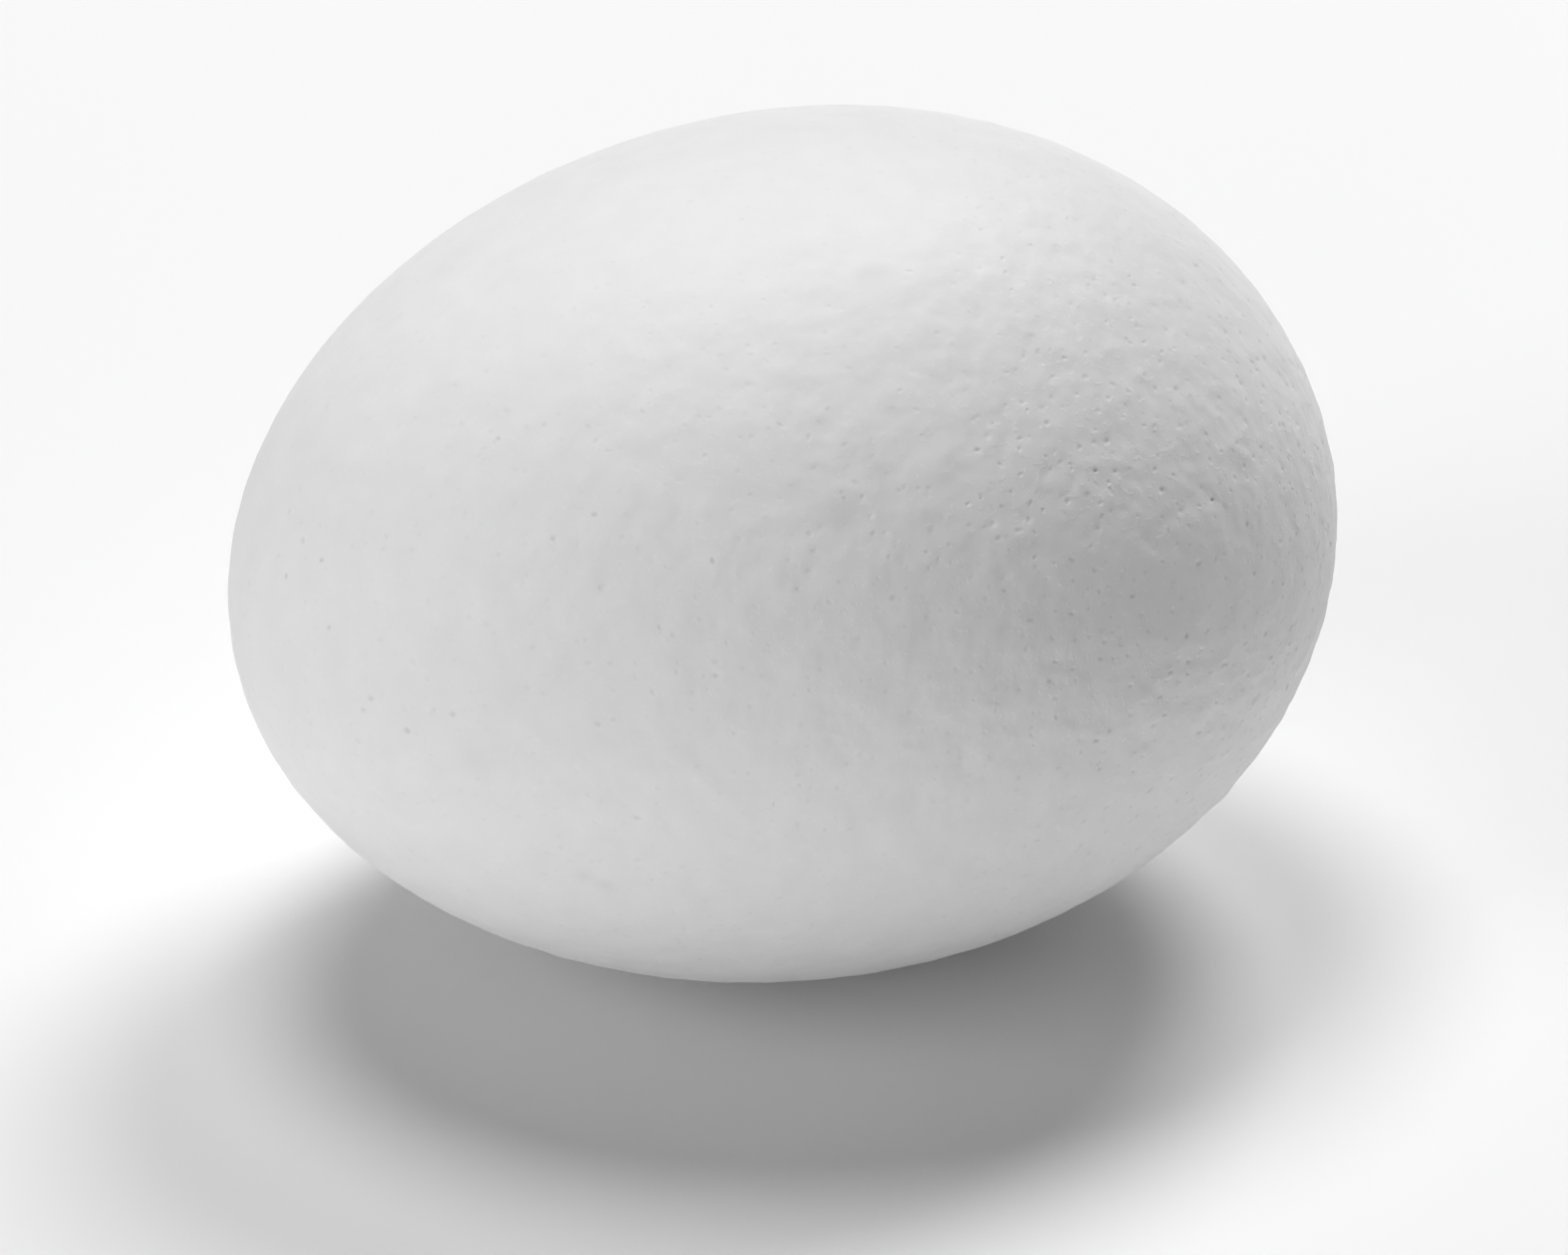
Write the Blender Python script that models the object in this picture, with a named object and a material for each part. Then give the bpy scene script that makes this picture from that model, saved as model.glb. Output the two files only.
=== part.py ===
"""Chicken egg lying on its side, in metres with +Z up.

The origin is the centre of the small flat spot that the egg rests on. The long axis runs along X
with the blunt end towards +X, and the two sides of the XZ plane mirror each other. The pointed
end dips a little, because the egg balances over its flat spot.
"""

from math import atan2, cos, pi, sqrt

import bmesh
import bpy
import numpy as np
from mathutils import Matrix, Vector

# Driving dimensions
LENGTH = 0.057  # from pole to pole
BREADTH = 0.0442  # across the widest place
WIDEST_OFFSET = 0.0012  # from mid-length to the widest place, towards the blunt end
SAG = 0.00036  # both ends sit this much lower than the middle of the long axis
FLAT_WIDTH = 0.005  # the flat spot, measured across the egg

# How fine the mesh is
SEGMENTS = 72  # around the long axis
RINGS = 48  # from pole to pole
STATIONS = 4001  # places along the axis where the balance is worked out
SAME_POINT = 1e-6  # points closer than this are one

# Shell finish
SHELL_COLOUR = (0.80, 0.80, 0.79, 1.0)
SHELL_ROUGHNESS = 0.6


def section_radius(x):
    """Radius of the round section at x from mid-length: an ellipse leaning towards one end."""
    ellipse = LENGTH**2 - 4 * x**2
    lean = LENGTH**2 - 8 * WIDEST_OFFSET * x + 4 * WIDEST_OFFSET**2
    return BREADTH / 2 * np.sqrt(np.maximum(ellipse, 0) / lean)


def axis_height(x):
    """Height of the long axis at x, against its height at mid-length."""
    return -SAG * (2 * x / LENGTH) ** 2


def balance():
    """The centre of mass, and the point of the belly under it, with the long axis level.

    An egg rolls until the point that touches the table is the one nearest to its centre of mass.
    """
    x = np.linspace(-LENGTH / 2, LENGTH / 2, STATIONS)
    radius = section_radius(x)
    area = radius**2
    centre = Vector((np.average(x, weights=area), 0, np.average(axis_height(x), weights=area)))
    belly = axis_height(x) - radius
    lowest = np.argmin(np.hypot(x - centre.x, belly - centre.z))
    return centre, Vector((x[lowest], 0, belly[lowest])), radius[lowest]


def turned_egg():
    """The outline from pole to pole, spun about the long axis, with the axis bent by the sag."""
    shape = bmesh.new()
    stations = [LENGTH / 2 * cos(pi * ring / RINGS) for ring in range(RINGS + 1)]
    outline = [shape.verts.new((x, 0, section_radius(x))) for x in stations]
    edges = [shape.edges.new(pair) for pair in zip(outline, outline[1:])]
    bmesh.ops.spin(shape, geom=outline + edges, axis=(1, 0, 0), angle=2 * pi, steps=SEGMENTS)
    bmesh.ops.remove_doubles(shape, verts=shape.verts, dist=SAME_POINT)
    bmesh.ops.recalc_face_normals(shape, faces=shape.faces)
    for vertex in shape.verts:
        vertex.co.z += axis_height(vertex.co.x)
    return shape


def set_down(shape):
    """Turns the egg to the way it balances, with the middle of its flat spot at the origin."""
    centre, touch, radius = balance()
    tilt = atan2(centre.x - touch.x, centre.z - touch.z)
    flat_depth = radius - sqrt(radius**2 - (FLAT_WIDTH / 2) ** 2)
    upright = Matrix.Rotation(-tilt, 4, "Y")
    lower = Matrix.Translation((0, 0, -flat_depth))
    shape.transform(lower @ upright @ Matrix.Translation(-touch))


def cut_flat_spot(shape):
    """Removes what is below the table, and closes the cut with one flat face."""
    cut = bmesh.ops.bisect_plane(
        shape,
        geom=shape.verts[:] + shape.edges[:] + shape.faces[:],
        dist=SAME_POINT,
        plane_co=(0, 0, 0),
        plane_no=(0, 0, 1),
        clear_inner=True,
    )["geom_cut"]
    for vertex in cut:
        if isinstance(vertex, bmesh.types.BMVert):
            vertex.co.z = 0
    rim = [edge for edge in cut if isinstance(edge, bmesh.types.BMEdge)]
    bmesh.ops.edgeloop_fill(shape, edges=rim)
    bmesh.ops.recalc_face_normals(shape, faces=shape.faces)


def shell_material():
    material = bpy.data.materials.new("shell")
    material.use_nodes = True
    surface = material.node_tree.nodes["Principled BSDF"]
    surface.inputs["Base Color"].default_value = SHELL_COLOUR
    surface.inputs["Roughness"].default_value = SHELL_ROUGHNESS
    surface.inputs["Metallic"].default_value = 0.0
    return material


def make_egg():
    shape = turned_egg()
    set_down(shape)
    cut_flat_spot(shape)
    mesh = bpy.data.meshes.new("egg")
    shape.to_mesh(mesh)
    shape.free()
    mesh.shade_smooth()
    mesh.materials.append(shell_material())
    bpy.context.scene.collection.objects.link(bpy.data.objects.new("egg", mesh))


for leftover in list(bpy.data.objects):
    bpy.data.objects.remove(leftover)
make_egg()
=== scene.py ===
"""Looks of the chicken egg: a pitted, matte shell on a pale table under soft light.

Metres, +Z up, in the same frame as the solid. The egg lies on its side with the blunt end towards
+X, and its flat spot is at the origin. The visible shell is one fine mesh: a sphere of small
triangles shaped into the egg. Where the shell has a pit, rings of new points take the place of one
point of the sphere.
"""

from collections import namedtuple
from math import atan2, cos, pi, radians, sin, sqrt, tan

import bmesh
import bpy
import numpy as np
from mathutils import Matrix, Vector, noise


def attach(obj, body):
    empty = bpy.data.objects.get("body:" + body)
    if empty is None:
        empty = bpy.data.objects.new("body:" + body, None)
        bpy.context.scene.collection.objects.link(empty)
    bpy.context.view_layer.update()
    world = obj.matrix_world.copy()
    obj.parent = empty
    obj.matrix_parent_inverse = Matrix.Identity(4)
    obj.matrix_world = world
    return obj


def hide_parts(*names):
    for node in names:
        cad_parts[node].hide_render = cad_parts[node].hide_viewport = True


MM = 0.001
TINY = 1e-12  # keeps a division away from zero

# The solid's driving dimensions, repeated
LENGTH = 0.057  # from pole to pole
BREADTH = 0.0442  # across the widest place
WIDEST_OFFSET = 0.0012  # from mid-length to the widest place, towards the blunt end
SAG = 0.00036  # both ends sit this much lower than the middle of the long axis
FLAT_WIDTH = 0.005  # the flat spot, measured across the egg
STATIONS = 4001  # places along the axis where balance and area are worked out

# Camera
PHOTO_WIDTH, PHOTO_HEIGHT = 1574, 1260  # pixels of the photograph
VIEW_ELEVATION = radians(31)  # above the table
VIEW_AZIMUTH = radians(-14.2)  # the blunt end turns this far away from the viewer
VIEW_DISTANCE = 0.45
NEAREST = VIEW_DISTANCE / 10  # nothing nearer than this is shown
PIXELS_PER_METRE = 19744  # of the photograph, at the egg's middle
EGG_PIXEL = (796.1, 544.8)  # where the photograph shows the egg's middle
SENSOR_WIDTH = 36.0  # millimetres
SMALL_STEP = 1e-4  # on the unit sphere, to see how far pixels move

# Fineness of the shell
SPHERE_STEPS = 7  # 81,920 triangles
FAN_POINTS = 6  # neighbours of a point of the sphere, but for twelve points that have five
RANDOM_SEED = 57

# How rough the shell is, as shares that are added up
PLAIN_ROUGH = 0.5
BLUNT_ROUGH = 0.45  # more at the blunt end
BLUNT_BETWEEN = (2 * MM, 14 * MM)  # along the egg, where the blunt end begins and is full
TOP_CALM = 0.15  # less on top
TOP_BETWEEN = (0.6, 0.95)  # the same for the top, as the upward share of the shell's normal
ROUGH_SIDE = np.array([0, -cos(radians(32)), sin(radians(32))])
SIDE_ROUGH = 0.45  # more on the side that faces this way
SIDE_BLUNT_ROUGH = 0.13  # and more again where that side meets the blunt end
SIDE_NARROWNESS = 8
ROUGH_END = np.array([0.84, -0.53, -0.12])
END_ROUGH = 0.85  # more on the stretch of the blunt end that faces this way
END_NARROWNESS = 6

# Where pits are
PIT_COUNT = 2080
CROWDING = 0.5  # chance that a point that is tried becomes a pit, at roughness 1
CROWDING_POWER = 1.7
PATCH_SIZE = 4 * MM  # of the loose patches that pits crowd into
PATCH_CONTRAST = 0.8

# Shapes of pits
PIT_RADIUS = (0.10 * MM, 0.25 * MM)
RADIUS_DRAW = (1.4, 2.6)  # of a beta draw between the two: most are small
PIT_DEPTH = (0.015 * MM, 0.036 * MM)  # at strength 1
STRENGTH_AT = ((0.4, 0.85, 1.1, 2.0), (0.20, 0.46, 1.15, 1.3))  # roughness, and its pits' strength
STEEPEST = 0.24  # depth against half the width, at most
PIT_STRETCH = (1.0, 1.9)  # length against width
CALM_WIDENING = 0.07 * MM  # pits are wider where the shell is calm
TWO_DIMPLES = 0.17  # chance that a pit has two dimples, at strength 1
TWO_DIMPLES_RADIUS = 0.15 * MM  # the smallest dimple of such a pit
DIMPLES_APART = (0.06, 0.14)  # millimetres
BOWL_POWER = 1.5  # how a dimple's wall rounds into its rim
RIM_POWER = 4  # how late a pit fades out towards its reach
# A pit's darkness darkens the shell's colour most where the pit is deepest: partly the pit's own colour,
# partly painted shade in the hollow.
DARKNESS_DRAW = (2.5, 4.2)  # of a beta draw from 0 to 1
CALM_DARKNESS = 0.4  # share of a pit's darkness that doesn't depend on its strength

# Mesh of a pit
WIDE_RINGS = (1.0, 0.66, 0.33)  # rings of a wide pit, as shares of its reach
SMALL_RINGS = (1.0, 0.5)
WIDE_REACH = 0.16 * MM  # a pit that reaches further has twelve spokes, and a smaller one six
MOST_REACH = 0.27 * MM
FAN_REACH = 0.28 * MM  # a pit stays inside the fan of triangles that it replaces
Pit = namedtuple("Pit", "dimples darkness shift")
Dimple = namedtuple("Dimple", "middle turn half_length half_width depth")

# Pits that the photograph shows clearly, each placed by its pixel there
Mark = namedtuple("Mark", "pixel half_length half_width turn depth darkness")  # mm and degrees
PLACED_PITS = {
    "dark dot": Mark((1218, 503), 0.15, 0.14, 0, 0.08, 2.5),
    "deep pit": Mark((1100, 472), 0.19, 0.15, 20, 0.08, 0.95),
    "pit above the middle": Mark((981, 454), 0.22, 0.17, 0, 0.045, 1.2),
    "pit beside a bright grain": Mark((1038, 507), 0.26, 0.20, 60, 0.035, 0.95),
    "row of dots 1": Mark((817, 553), 0.22, 0.20, 0, 0.03, 0.2),
    "row of dots 2": Mark((815, 571), 0.20, 0.18, 0, 0.03, 0.35),
    "row of dots 3": Mark((801, 594), 0.20, 0.16, 40, 0.03, 0.25),
    "short upright dash": Mark((717, 561), 0.26, 0.12, 100, 0.04, 1.1),
    "soft dot low left": Mark((407, 732), 0.31, 0.25, 150, 0.03, 1.05),
    "its neighbour": Mark((455, 718), 0.24, 0.21, 0, 0.03, 0.95),
    "pair of dots, upper": Mark((370, 700), 0.28, 0.20, 20, 0.03, 0.9),
    "pair of dots, lower": Mark((367, 714), 0.24, 0.20, 0, 0.02, 0.8),
    "left dot": Mark((287, 580), 0.23, 0.21, 0, 0.03, 1.0),
    "left dot, second": Mark((322, 563), 0.20, 0.17, 0, 0.03, 1.25),
    "left dot, third": Mark((303, 542), 0.29, 0.19, 100, 0.03, 0.8),
    "left dot, fourth": Mark((330, 630), 0.21, 0.20, 0, 0.03, 0.9),
    "upper left dot": Mark((503, 441), 0.22, 0.17, 110, 0.03, 0.8),
    "upper left dot, second": Mark((545, 428), 0.20, 0.18, 0, 0.02, 0.4),
    "middle dot": Mark((596, 516), 0.23, 0.20, 0, 0.03, 1.0),
    "middle dot, second": Mark((555, 541), 0.23, 0.17, 150, 0.04, 0.7),
    "lower middle dot": Mark((601, 731), 0.25, 0.21, 0, 0.03, 0.25),
    "right of the middle": Mark((719, 676), 0.21, 0.18, 0, 0.03, 0.7),
    "low dot": Mark((637, 820), 0.26, 0.18, 0, 0.03, 0.75),
    "notch near the edge": Mark((1292, 690), 0.27, 0.18, 60, 0.09, 2.5),
}

# Soft stains that the photograph shows clearly, each placed by its pixel there
Stain = namedtuple("Stain", "pixel radius darkness")  # the radius in millimetres
STAINS = {
    "stain near the blunt end": Stain((1250, 462), 1.00, 0.75),
    "blotch in the middle": Stain((842, 517), 1.00, 0.85),
    "streak above it": Stain((880, 470), 0.50, 1.0),
    "smudge low left": Stain((475, 762), 1.0, 0.45),
    "smudge low right": Stain((902, 810), 0.9, 0.4),
    "low dash, left half": Stain((587, 882), 0.45, 1.0),
    "low dash, right half": Stain((607, 890), 0.45, 0.85),
    "soft dot low right": Stain((1012, 697), 0.50, 0.75),
}

# The shell's own unevenness
Wave = namedtuple("Wave", "size shift height rough_height")  # heights in mm, the second times roughness
WAVES = (
    Wave(9 * MM, (0, 0, 0), 0.020, 0),
    Wave(2.4 * MM, (7, 0, 0), 0.018, 0.009),
    Wave(1.15 * MM, (0, 9, 0), 0.026, 0.036),
)

# Material of the shell
SHELL_ROUGHNESS = 0.55
SHELL_SPECULAR = 0.4
MOTTLE_SIZE = 2.2 * MM
MOTTLE_DETAIL = 2
MOTTLE_SHADES = (0.79, 0.85)
# Colour of pits: partly their own darker colour, partly painted shade in the hollow.
DARKEST_PIT = 2.5  # the darkness at which a pit has its deepest shade
PIT_TONE_AND_PAINTED_SHADE = 0.55
STAIN_SHADE = 0.90
GRAIN_SIZE = 0.24 * MM
GRAIN_BETWEEN = (0.66, 0.76)  # of the noise: where a grain begins, and its top
GRAIN_SHADE = 1.03
# Pores darken the colour where their hollow is: partly their own colour, partly painted shade in the
# hollow.
PORE_SIZE = 0.62 * MM
PORE_REACH = 0.34  # radius, as a share of the size of the cell that a pore is in
PORE_TONE_AND_PAINTED_SHADE = 0.88
HOLLOW_SIZE = 1.3 * MM
HOLLOW_REACH = 0.42
HOLLOW_SHIFT = 50 * MM  # so that the hollows aren't where the pores are
FAINTNESS = 3.0  # the higher it is, the fainter most pores and hollows are
BEND = 0.35  # how far noise bends pores and hollows, as a share of the size of their cells
BEND_NOISE = 2  # size of that noise, against how far it bends
LUMP_SIZE = 0.68 * MM

# Heights in millimetres of what is too fine to be modelled, at roughness 1
LUMP_HEIGHT = 0.036
PORE_HEIGHT = -0.030
HOLLOW_HEIGHT = -0.030
GRAIN_HEIGHT = 0.005

# Studio
FLOOR_REACH = 4.0  # from the middle to each side
FLOOR_SHADE = 0.9
FLOOR_ROUGHNESS = 0.8
AIM_HEIGHT = 0.02  # of the place that the lights are aimed at

# Round lights
Light = namedtuple("Light", "azimuth elevation distance half_angle watts")  # angles in degrees
LIGHTS = {
    "top_back_left": Light(120, 75, 1.0, 12, 4.7),
    "top_back_right": Light(60, 54, 1.0, 12, 5.5),
    "front_left": Light(210, 32, 1.0, 12, 1.4),
    "low_left": Light(210, 10, 1.0, 9, 2.0),
    "low_front": Light(258, 9, 0.35, 10, 0.178),
    "right_edge": Light(30, 9, 0.35, 8, 0.082),
}


def section_radius(x):
    """Radius of the round section at x from mid-length: an ellipse leaning towards one end."""
    ellipse = LENGTH**2 - 4 * x**2
    lean = LENGTH**2 - 8 * WIDEST_OFFSET * x + 4 * WIDEST_OFFSET**2
    return BREADTH / 2 * np.sqrt(np.maximum(ellipse, 0) / lean)


def radius_slope(x):
    """The section radius times its slope along x, which stays finite at the poles."""
    ellipse = LENGTH**2 - 4 * x**2
    lean = LENGTH**2 - 8 * WIDEST_OFFSET * x + 4 * WIDEST_OFFSET**2
    return BREADTH**2 * (WIDEST_OFFSET * ellipse - x * lean) / lean**2


def axis_height(x):
    """Height of the long axis at x, against its height at mid-length."""
    return -SAG * (2 * x / LENGTH) ** 2


def axis_slope(x):
    return -8 * SAG * x / LENGTH**2


def resting_matrix():
    """Turns the egg to the way it balances, with the middle of its flat spot at the origin."""
    x = np.linspace(-LENGTH / 2, LENGTH / 2, STATIONS)
    radius = section_radius(x)
    area = radius**2
    centre = Vector((np.average(x, weights=area), 0, np.average(axis_height(x), weights=area)))
    belly = axis_height(x) - radius
    lowest = np.argmin(np.hypot(x - centre.x, belly - centre.z))
    touch = Vector((x[lowest], 0, belly[lowest]))
    tilt = atan2(centre.x - touch.x, centre.z - touch.z)
    flat_depth = radius[lowest] - sqrt(radius[lowest] ** 2 - (FLAT_WIDTH / 2) ** 2)
    lower = Matrix.Translation((0, 0, -flat_depth))
    return lower @ Matrix.Rotation(-tilt, 4, "Y") @ Matrix.Translation(-touch)


def area_below():
    """Places along the axis, and the egg's area from the pointed end up to each."""
    stations = np.linspace(-LENGTH / 2, LENGTH / 2, STATIONS)
    belt = 2 * pi * np.hypot(section_radius(stations), radius_slope(stations))
    steps = (belt[1:] + belt[:-1]) / 2 * np.diff(stations)
    return stations, np.concatenate([[0], np.cumsum(steps)])


def sphere_radius():
    """Radius of the sphere that has the egg's area."""
    return sqrt(area_below()[1][-1] / (4 * pi))


def on_the_egg(directions):
    """Points and normals of the smooth egg for directions from the middle of a unit sphere.

    Equal areas of the sphere become equal areas of the egg, so the triangles stay alike.
    """
    stations, area = area_below()
    x = np.interp((1 + directions[:, 0]) / 2, area / area[-1], stations)
    around = directions[:, 1:] / np.maximum(np.hypot(*directions[:, 1:].T), TINY)[:, None]
    side, up = (section_radius(x)[:, None] * around).T
    points = np.stack([x, side, up + axis_height(x)], axis=1)
    normals = np.stack([-radius_slope(x) - axis_slope(x) * up, side, up], axis=1)
    normals /= np.linalg.norm(normals, axis=1)[:, None]
    resting = np.array(resting_matrix())
    return points @ resting[:3, :3].T + resting[:3, 3], normals @ resting[:3, :3].T


def camera_pose():
    """Where the camera stands, its turn, and the directions right, up and back."""
    back = Vector((
        sin(VIEW_AZIMUTH) * cos(VIEW_ELEVATION),
        -cos(VIEW_AZIMUTH) * cos(VIEW_ELEVATION),
        sin(VIEW_ELEVATION),
    ))
    turn = (-back).to_track_quat("-Z", "Y")
    right = turn @ Vector((1, 0, 0))
    up = turn @ Vector((0, 1, 0))
    across = (PHOTO_WIDTH / 2 - EGG_PIXEL[0]) / PIXELS_PER_METRE
    above = (EGG_PIXEL[1] - PHOTO_HEIGHT / 2) / PIXELS_PER_METRE
    middle = Vector((0, 0, BREADTH / 2))
    return middle + right * across + up * above + back * VIEW_DISTANCE, turn, right, up, back


def aim_camera():
    """A long lens on the egg's middle, aimed so that the egg sits where the photograph has it."""
    place, turn = camera_pose()[:2]
    data = bpy.data.cameras.new("camera")
    data.sensor_width = SENSOR_WIDTH
    data.lens = SENSOR_WIDTH * VIEW_DISTANCE * PIXELS_PER_METRE / PHOTO_WIDTH
    data.clip_start = NEAREST
    camera = bpy.data.objects.new("camera", data)
    camera.location = place
    camera.rotation_euler = turn.to_euler()
    bpy.context.scene.collection.objects.link(camera)
    bpy.context.scene.camera = camera


def seen_pixels(points):
    """Where the photograph shows points, as columns and rows."""
    place, _, right, up, back = camera_pose()
    offsets = points - np.array(place)
    scale = PIXELS_PER_METRE * VIEW_DISTANCE / -(offsets @ np.array(back))
    columns = PHOTO_WIDTH / 2 + scale * (offsets @ np.array(right))
    rows = PHOTO_HEIGHT / 2 - scale * (offsets @ np.array(up))
    return np.stack([columns, rows], axis=1)


def seen_at(pixel, points, normals):
    """The point of the shell, by its number, that the photograph shows at a pixel."""
    apart = np.linalg.norm(seen_pixels(points) - pixel, axis=1)
    turned_away = np.einsum("ij,ij->i", normals, points - np.array(camera_pose()[0])) > 0
    return int(np.argmin(np.where(turned_away, np.inf, apart)))


def tangents(direction):
    """Two unit directions across a point of the sphere: along the egg, and around it."""
    along = np.array([1.0, 0, 0]) - direction[0] * direction
    along /= np.linalg.norm(along)
    return along, np.cross(direction, along)


def shift_to(pixel, direction):
    """From a point of the shell to what the photograph shows at a pixel, along and around the egg."""
    steps = np.array([(0, 0), (SMALL_STEP, 0), (0, SMALL_STEP)])
    tries = direction + steps @ np.stack(tangents(direction))
    seen = seen_pixels(on_the_egg(tries / np.linalg.norm(tries, axis=1)[:, None])[0])
    moves = (seen[1:] - seen[0]).T / SMALL_STEP
    return np.linalg.solve(moves, pixel - seen[0]) * sphere_radius()


def sphere_mesh():
    """A unit sphere of small triangles, and each point's neighbours."""
    ball = bmesh.new()
    bmesh.ops.create_icosphere(ball, subdivisions=SPHERE_STEPS, radius=1)
    directions = np.array([vertex.co for vertex in ball.verts])
    directions /= np.linalg.norm(directions, axis=1)[:, None]
    faces = [[vertex.index for vertex in face.verts] for face in ball.faces]
    neighbours = [[edge.other_vert(vertex).index for edge in vertex.link_edges] for vertex in ball.verts]
    ball.free()
    return directions, faces, neighbours


def smooth_step(value, low, high):
    share = np.clip((value - low) / (high - low), 0, 1)
    return share * share * (3 - 2 * share)


def roughness(points, normals):
    """How rough the shell is: most near the blunt end, and on the side that the photograph shows."""
    blunt = smooth_step(points[:, 0], *BLUNT_BETWEEN)
    top = smooth_step(normals[:, 2], *TOP_BETWEEN)
    side = np.maximum(normals @ ROUGH_SIDE, 0) ** SIDE_NARROWNESS
    end = np.maximum(normals @ ROUGH_END, 0) ** END_NARROWNESS
    side_rough = SIDE_ROUGH + SIDE_BLUNT_ROUGH * blunt
    return PLAIN_ROUGH + BLUNT_ROUGH * blunt - TOP_CALM * top + side_rough * side + END_ROUGH * end


def pit_crowding(point, rough):
    """How likely a pit is: most where the shell is rough, and in loose patches."""
    patch = 1 + PATCH_CONTRAST * noise.noise(Vector(point) / PATCH_SIZE)
    return CROWDING * rough**CROWDING_POWER * patch


def pit_reach(dimples):
    furthest = max(np.hypot(*dimple.middle) + dimple.half_length for dimple in dimples)
    return min(furthest, MOST_REACH)


def within(shift, dimples):
    """The shift, shortened if need be, so that the pit stays inside its fan of triangles."""
    room = FAN_REACH - pit_reach(dimples)
    return shift * min(1, room / max(np.hypot(*shift), TINY))


def placed_pit(mark, direction):
    size = mark.half_length * MM, mark.half_width * MM, mark.depth * MM
    dimples = [Dimple(np.zeros(2), radians(mark.turn), *size)]
    return Pit(dimples, mark.darkness, within(shift_to(mark.pixel, direction), dimples))


def any_way(draw):
    """A unit direction in the plane, each as likely as any other."""
    turn = draw.uniform(0, 2 * pi)
    return np.array([cos(turn), sin(turn)])


def chance_dimple(draw, strength, parts, part):
    """One of a pit's oval dimples. The first is in the pit's middle, and a second beside it."""
    smallest = PIT_RADIUS[0] if parts == 1 else TWO_DIMPLES_RADIUS
    smallest = smallest + CALM_WIDENING * max(1 - strength, 0)
    radius = smallest + (PIT_RADIUS[1] - smallest) * draw.beta(*RADIUS_DRAW)
    stretch = sqrt(draw.uniform(*PIT_STRETCH))
    depth = min(strength * draw.uniform(*PIT_DEPTH) / sqrt(parts), STEEPEST * radius / stretch)
    away = draw.uniform(*DIMPLES_APART) * MM * (part > 0)
    middle = any_way(draw) * away
    return Dimple(middle, draw.uniform(0, pi), radius * stretch, radius / stretch, depth)


def chance_pit(draw, rough):
    """A pit of one dimple or two, a little away from its point of the sphere."""
    strength = np.interp(rough, *STRENGTH_AT)
    parts = 2 if draw.random() < TWO_DIMPLES * strength else 1
    dimples = [chance_dimple(draw, strength, parts, part) for part in range(parts)]
    way = any_way(draw)
    shift = within(way * (FAN_REACH * sqrt(draw.random())), dimples)
    darkness = draw.beta(*DARKNESS_DRAW) * (CALM_DARKNESS + (1 - CALM_DARKNESS) * strength)
    return Pit(dimples, darkness, shift)


def dimple_depth(places, dimples):
    """Depth of a pit at places around its middle, given along and across the egg."""
    depth = np.zeros(len(places))
    for middle, turn, half_length, half_width, deepest in dimples:
        turned = np.array([[cos(turn), -sin(turn)], [sin(turn), cos(turn)]])
        axes = turned / (half_length, half_width)
        apart = np.linalg.norm((places - middle) @ axes, axis=1)
        depth += deepest * np.maximum(1 - apart**2, 0) ** BOWL_POWER
    return depth * (1 - (np.linalg.norm(places, axis=1) / pit_reach(dimples)) ** RIM_POWER)


def choose_pits(directions, neighbours, draw):
    """Points of the sphere that become pits. No two are neighbours."""
    points, normals = on_the_egg(directions)
    rough = roughness(points, normals)
    taken = np.zeros(len(points), bool)
    pits = {}

    def is_free(point):
        return not taken[point] and not taken[neighbours[point]].any()

    for mark in PLACED_PITS.values():
        point = seen_at(mark.pixel, points, normals)
        if is_free(point):
            taken[point] = True
            pits[point] = placed_pit(mark, directions[point])
    for point in draw.permutation(len(points)):
        if len(pits) == PIT_COUNT:
            break
        if len(neighbours[point]) != FAN_POINTS or not is_free(point):
            continue
        if draw.random() < pit_crowding(points[point], rough[point]):
            taken[point] = True
            pits[point] = chance_pit(draw, rough[point])
    return pits


def stitch(outer, inner):
    """Triangles between two rings of points, where one may have twice as many as the other.

    The point halfway between two spokes joins both, so that no triangle folds over it.
    """
    steps = max(len(outer), len(inner))
    more_inside = len(inner) > len(outer)
    outer = [outer[i * len(outer) // steps] for i in range(steps)]
    inner = [inner[i * len(inner) // steps] for i in range(steps)]
    faces = []
    for i in range(steps):
        following = (i + 1) % steps
        inside, outside = (i, following) if more_inside else (following, i)
        if outer[i] != outer[following]:
            faces.append((outer[i], outer[following], inner[inside]))
        if inner[i] != inner[following]:
            faces.append((outer[outside], inner[following], inner[i]))
    return faces


def pit_rings(around, reach):
    """Places of a pit's rings, from the rim inwards, for six directions around it as angles."""
    gaps = np.diff(np.append(around, around[0] + 2 * pi))
    spokes = np.stack([around, around + gaps / 2], axis=1).ravel()
    wide = reach > WIDE_REACH
    rings = []
    for share in WIDE_RINGS if wide else SMALL_RINGS:
        angles = spokes if wide and share != WIDE_RINGS[-1] else around
        rings.append(np.stack([np.cos(angles), np.sin(angles)], axis=1) * share * reach)
    return rings


def pit_patch(pit, numbers, places, count):
    """Faces of a pit inside a ring of points, and the places of the pit's own points.

    The ring is given as numbers and places, seen from the pit's middle. The pit's own points are
    numbered from the count, and the last of them is its middle.
    """
    angles = np.arctan2(places[:, 1], places[:, 0])
    order = np.argsort(angles)
    rings = pit_rings(angles[order], pit_reach(pit.dimples))
    outer = numbers[order]
    faces = []
    for ring in rings:
        inner = np.arange(count, count + len(ring))
        faces += stitch(outer, inner)
        outer = inner
        count += len(ring)
    faces += [(outer[i - 1], outer[i], count) for i in range(len(outer))]
    return faces, np.concatenate([*rings, [(0, 0)]])


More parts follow.
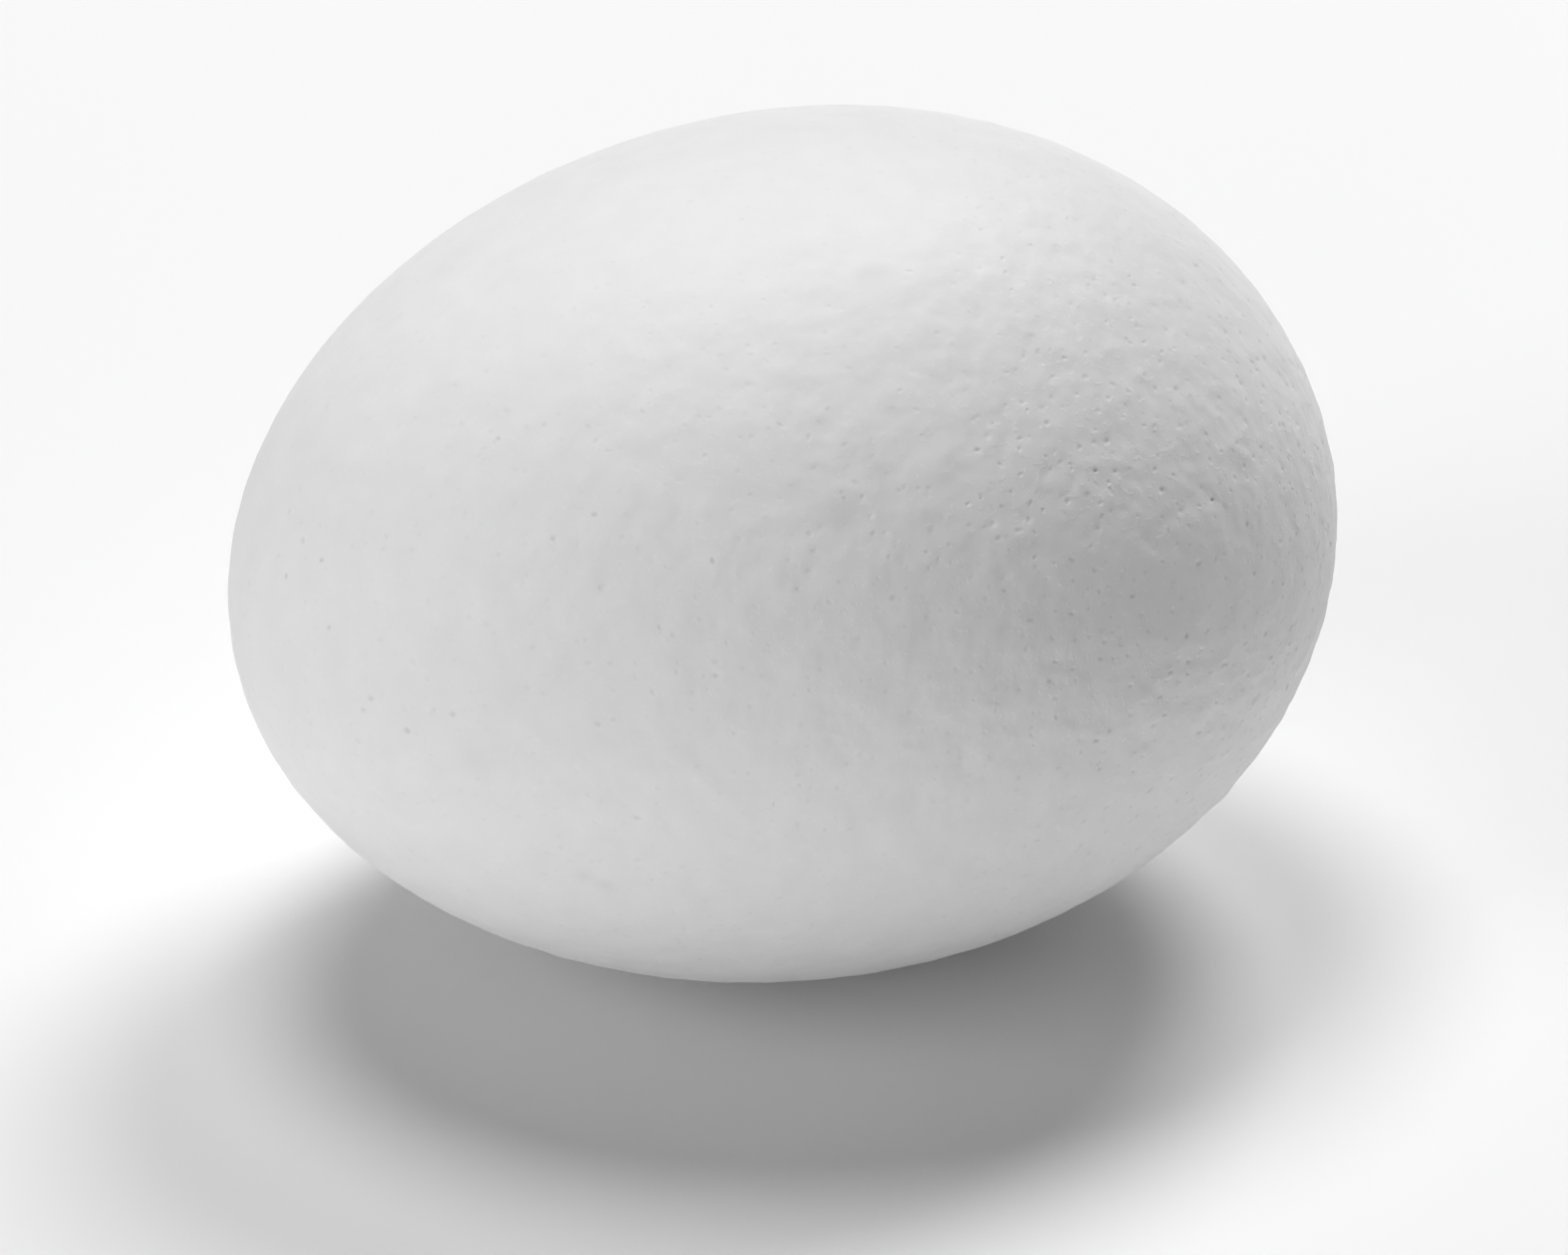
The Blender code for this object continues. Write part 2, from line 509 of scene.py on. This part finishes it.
def pitted_sphere():
    """Directions, faces, and for each point how deep and how dark its pit is there. The darkness is
    partly the pit's own colour and partly painted shade in the hollow.
    """
    draw = np.random.default_rng(RANDOM_SEED)
    directions, faces, neighbours = sphere_mesh()
    pits = choose_pits(directions, neighbours, draw)
    kept = np.ones(len(directions), bool)
    kept[list(pits)] = False
    number = np.cumsum(kept) - 1
    faces = [number[face] for face in faces if kept[face].all()]
    count = int(kept.sum())
    parts = [(directions[kept], np.zeros(count), np.zeros(count))]
    radius = sphere_radius()
    for point, pit in pits.items():
        near = neighbours[point]
        across = np.stack(tangents(directions[point]))
        ring = (directions[near] - directions[point]) @ across.T * radius - pit.shift
        patch, places = pit_patch(pit, number[near], ring, count)
        faces += patch
        count += len(places)
        depth = dimple_depth(places, pit.dimples)
        # The colour darkens with the pit's depth: partly its own colour, partly painted shade in the
        # hollow.
        dark = pit.darkness * depth / max(dimple.depth for dimple in pit.dimples)
        parts.append((directions[point] + (places + pit.shift) / radius @ across, depth, dark))
    directions, sunk, dark = (np.concatenate(values) for values in zip(*parts))
    directions /= np.linalg.norm(directions, axis=1)[:, None]
    return directions, faces, sunk, dark


def undulation(points, rough):
    """Height of the shell's own unevenness: a slow wave, and finer lumps where it is rough."""
    heights = np.zeros(len(points))
    for i, point in enumerate(points):
        for wave in WAVES:
            place = Vector(point) / wave.size + Vector(wave.shift)
            heights[i] += (wave.height + wave.rough_height * rough[i]) * noise.noise(place)
    return heights * MM


def stained(points, normals):
    """How much each point is darkened by the soft stains."""
    shade = np.zeros(len(points))
    for stain in STAINS.values():
        middle = points[seen_at(stain.pixel, points, normals)]
        apart = np.linalg.norm(points - middle, axis=1)
        shade += stain.darkness * np.exp(-((apart / (stain.radius * MM)) ** 2))
    return shade


def shell_mesh():
    directions, faces, sunk, dark = pitted_sphere()
    smooth_points, normals = on_the_egg(directions)
    rough = roughness(smooth_points, normals)
    points = smooth_points + normals * (undulation(smooth_points, rough) - sunk)[:, None]
    points[:, 2] = np.maximum(points[:, 2], 0)
    mesh = bpy.data.meshes.new("eggshell")
    mesh.from_pydata(points, [], faces)
    mesh.validate()
    mesh.shade_smooth()
    values = {
        # Darkness of pits: partly their own colour, partly painted shade.
        "pit": dark,
        "stain": stained(smooth_points, normals),
        "rough": rough,
    }
    for name, value in values.items():
        layer = mesh.attributes.new(name, "FLOAT", "POINT")
        layer.data.foreach_set("value", value.astype(np.float32))
    return mesh


def add_node(tree, kind, inputs, **settings):
    """A node whose inputs are set to values or linked to other nodes' sockets."""
    node = tree.nodes.new("ShaderNode" + kind)
    for name, value in settings.items():
        setattr(node, name, value)
    for name, value in inputs.items():
        if isinstance(value, bpy.types.NodeSocket):
            tree.links.new(value, node.inputs[name])
        else:
            node.inputs[name].default_value = value
    return node


def stored(tree, name):
    """A value that the mesh holds for each of its points."""
    return add_node(tree, "Attribute", {}, attribute_name=name).outputs["Fac"]


def cloud(tree, place, size, detail=0):
    """Soft noise, mostly near 0.5, with lumps of a size."""
    inputs = {"Vector": place, "Scale": 1 / size, "Detail": detail}
    return add_node(tree, "TexNoise", inputs).outputs["Fac"]


def maths(tree, operation, first, second):
    return add_node(tree, "Math", {0: first, 1: second}, operation=operation).outputs["Value"]


def product(tree, *factors):
    result = factors[0]
    for factor in factors[1:]:
        result = maths(tree, "MULTIPLY", result, factor)
    return result


def span(tree, value, between, results, curve="LINEAR"):
    """The value, carried from between two values to between two results, and kept within them."""
    inputs = {
        "Value": value,
        "From Min": between[0],
        "From Max": between[1],
        "To Min": results[0],
        "To Max": results[1],
    }
    return add_node(tree, "MapRange", inputs, interpolation_type=curve, clamp=True).outputs["Result"]


def bent_place(tree, place, amount, shift):
    """The place, pushed about by noise, so that round things become uneven."""
    scale = 1 / (BEND_NOISE * amount)
    wind = add_node(tree, "TexNoise", {"Vector": place, "Scale": scale, "Detail": 0})
    moved = add_node(tree, "VectorMath", {0: place, 1: (shift, 0, 0)}, operation="ADD")
    inputs = {0: wind.outputs["Color"], 1: (amount, amount, amount), 2: moved.outputs["Vector"]}
    return add_node(tree, "VectorMath", inputs, operation="MULTIPLY_ADD").outputs["Vector"]


def round_hollows(tree, place, size, reach, shift=0.0):
    """Round hollows, one in each cell of a scatter: 1 at the middle, 0 beyond the reach.

    Each cell's colour sets how strong its hollow is, and most of them are faint.
    """
    bent = bent_place(tree, place, BEND * size, shift)
    cells = add_node(tree, "TexVoronoi", {"Vector": bent, "Scale": 1 / size, "Randomness": 1.0})
    bowl = span(tree, cells.outputs["Distance"], (0.0, reach), (1.0, 0.0), curve="SMOOTHSTEP")
    channels = add_node(tree, "SeparateColor", {"Color": cells.outputs["Color"]})
    return maths(tree, "MULTIPLY", bowl, maths(tree, "POWER", channels.outputs["Red"], FAINTNESS))


def shell_colour(tree, place, rough, grains, pores):
    """A faint mottle, darker in stains, darker in pits and pores (partly their own colour, partly
    painted shade in their hollows), and lighter on grains.
    """
    shade = product(
        tree,
        span(tree, cloud(tree, place, MOTTLE_SIZE, MOTTLE_DETAIL), (0.0, 1.0), MOTTLE_SHADES),
        # Pits: partly their own darker colour, partly painted shade in the hollow.
        span(tree, stored(tree, "pit"), (0.0, DARKEST_PIT), (1.0, PIT_TONE_AND_PAINTED_SHADE)),
        span(tree, stored(tree, "stain"), (0.0, 1.0), (1.0, STAIN_SHADE)),
        span(tree, grains, (0.0, 1.0), (1.0, GRAIN_SHADE)),
        # Pores: partly their own darker colour, partly painted shade in the hollow.
        span(tree, maths(tree, "MULTIPLY", pores, rough), (0.0, 1.0), (1.0, PORE_TONE_AND_PAINTED_SHADE)),
    )
    return add_node(tree, "CombineColor", {"Red": shade, "Green": shade, "Blue": shade}).outputs["Color"]


def shell_relief(tree, place, rough, grains, pores):
    """The normal of a surface with what is too fine to be modelled."""
    hollows = round_hollows(tree, place, HOLLOW_SIZE, HOLLOW_REACH, HOLLOW_SHIFT)
    heights = maths(tree, "MULTIPLY", cloud(tree, place, LUMP_SIZE), LUMP_HEIGHT)
    for value, height in ((pores, PORE_HEIGHT), (hollows, HOLLOW_HEIGHT), (grains, GRAIN_HEIGHT)):
        heights = maths(tree, "ADD", heights, maths(tree, "MULTIPLY", value, height))
    heights = maths(tree, "MULTIPLY", heights, rough)
    return add_node(tree, "Bump", {"Strength": 1.0, "Distance": MM, "Height": heights}).outputs["Normal"]


def shell_material():
    material = bpy.data.materials.new("eggshell")
    material.use_nodes = True
    tree = material.node_tree
    surface = tree.nodes["Principled BSDF"]
    surface.inputs["Roughness"].default_value = SHELL_ROUGHNESS
    surface.inputs["Specular IOR Level"].default_value = SHELL_SPECULAR
    place = add_node(tree, "TexCoord", {}).outputs["Object"]
    rough = stored(tree, "rough")
    grains = span(tree, cloud(tree, place, GRAIN_SIZE), GRAIN_BETWEEN, (0.0, 1.0))
    grains = maths(tree, "MULTIPLY", grains, rough)
    pores = round_hollows(tree, place, PORE_SIZE, PORE_REACH)
    shared = tree, place, rough, grains, pores
    tree.links.new(shell_colour(*shared), surface.inputs["Base Color"])
    tree.links.new(shell_relief(*shared), surface.inputs["Normal"])
    return material


def floor_material():
    material = bpy.data.materials.new("table")
    material.use_nodes = True
    surface = material.node_tree.nodes["Principled BSDF"]
    surface.inputs["Base Color"].default_value = (FLOOR_SHADE, FLOOR_SHADE, FLOOR_SHADE, 1)
    surface.inputs["Roughness"].default_value = FLOOR_ROUGHNESS
    surface.inputs["Specular IOR Level"].default_value = 0.0
    return material


def make_floor():
    corners = [(x * FLOOR_REACH, y * FLOOR_REACH, 0) for x, y in ((-1, -1), (1, -1), (1, 1), (-1, 1))]
    mesh = bpy.data.meshes.new("floor")
    mesh.from_pydata(corners, [], [range(len(corners))])
    mesh.materials.append(floor_material())
    floor = bpy.data.objects.new("floor", mesh)
    bpy.context.scene.collection.objects.link(floor)


def add_light(name, light):
    """A round soft light aimed at the egg. Azimuth counts from the viewer's right, going away.

    The half angle is half of what the light fills, seen from the place that it is aimed at.
    """
    data = bpy.data.lights.new(name, "AREA")
    data.shape = "DISK"
    data.size = 2 * light.distance * tan(radians(light.half_angle))
    data.energy = light.watts
    turn = radians(light.azimuth) + VIEW_AZIMUTH
    rise = radians(light.elevation)
    towards = Vector((cos(turn) * cos(rise), sin(turn) * cos(rise), sin(rise)))
    lamp = bpy.data.objects.new(name, data)
    lamp.location = Vector((0, 0, AIM_HEIGHT)) + towards * light.distance
    lamp.rotation_euler = (-towards).to_track_quat("-Z", "Y").to_euler()
    lamp.visible_camera = False
    bpy.context.scene.collection.objects.link(lamp)


def light_the_scene():
    """The round lights alone: the studio around them gives no light."""
    for name, light in LIGHTS.items():
        add_light(name, light)
    world = bpy.data.worlds.new("studio")
    world.use_nodes = True
    world.node_tree.nodes["Background"].inputs["Strength"].default_value = 0.0
    bpy.context.scene.world = world
    bpy.context.scene.view_settings.view_transform = "Standard"


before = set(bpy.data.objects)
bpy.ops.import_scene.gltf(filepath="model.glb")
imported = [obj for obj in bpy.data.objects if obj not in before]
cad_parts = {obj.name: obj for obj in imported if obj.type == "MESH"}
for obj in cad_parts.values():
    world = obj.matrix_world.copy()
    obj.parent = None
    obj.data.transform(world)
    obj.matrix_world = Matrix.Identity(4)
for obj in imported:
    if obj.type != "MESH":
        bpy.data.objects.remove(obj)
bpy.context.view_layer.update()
aim_camera()
egg = bpy.data.objects.new("eggshell", shell_mesh())
bpy.context.scene.collection.objects.link(egg)
egg.data.materials.append(shell_material())
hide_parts("egg")
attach(egg, "root")
make_floor()
light_the_scene()
